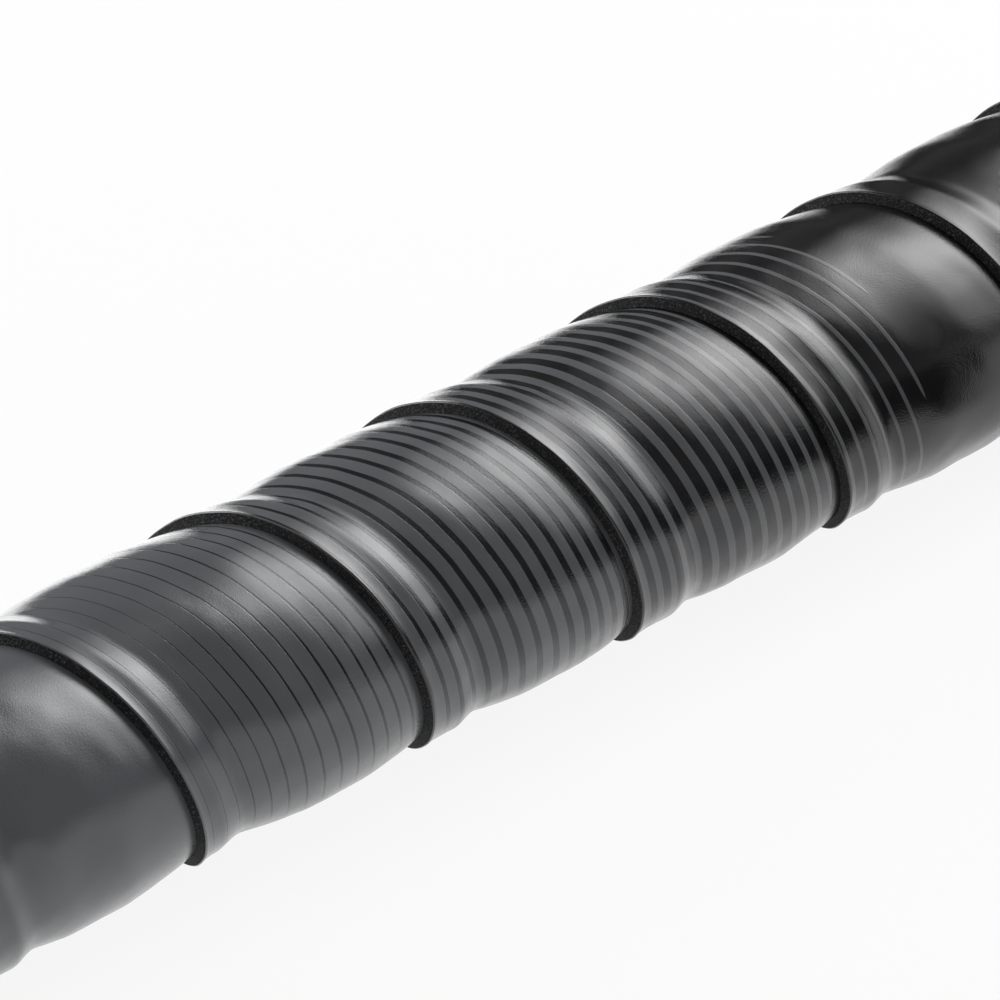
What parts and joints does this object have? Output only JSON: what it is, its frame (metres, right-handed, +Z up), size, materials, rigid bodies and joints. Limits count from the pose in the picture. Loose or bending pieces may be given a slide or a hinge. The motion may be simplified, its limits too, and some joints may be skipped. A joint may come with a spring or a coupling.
{
  "type": "wound handlebar tape",
  "caption": "Padded handlebar tape wound in overlapping helical turns around an open round bore, with square ends and gray stripes that fade into black along the strip.",
  "frame": {"origin": "middle of the bounding box's underside, under the middle of the winding", "axes": "+X along the bar's axis, the way the turns advance; +Z up, away from the flat spot that the winding rests on"},
  "size_m": [0.165, 0.0296, 0.0292],
  "materials": {
    "tape_skin": "semi-gloss black synthetic leather skin with fine grain and printed gray stripes, over a dark foam backing that shows at the cut edge"
  },
  "bodies": {
    "root": {"wound_tape": "tape_skin"}
  },
  "joints": []
}
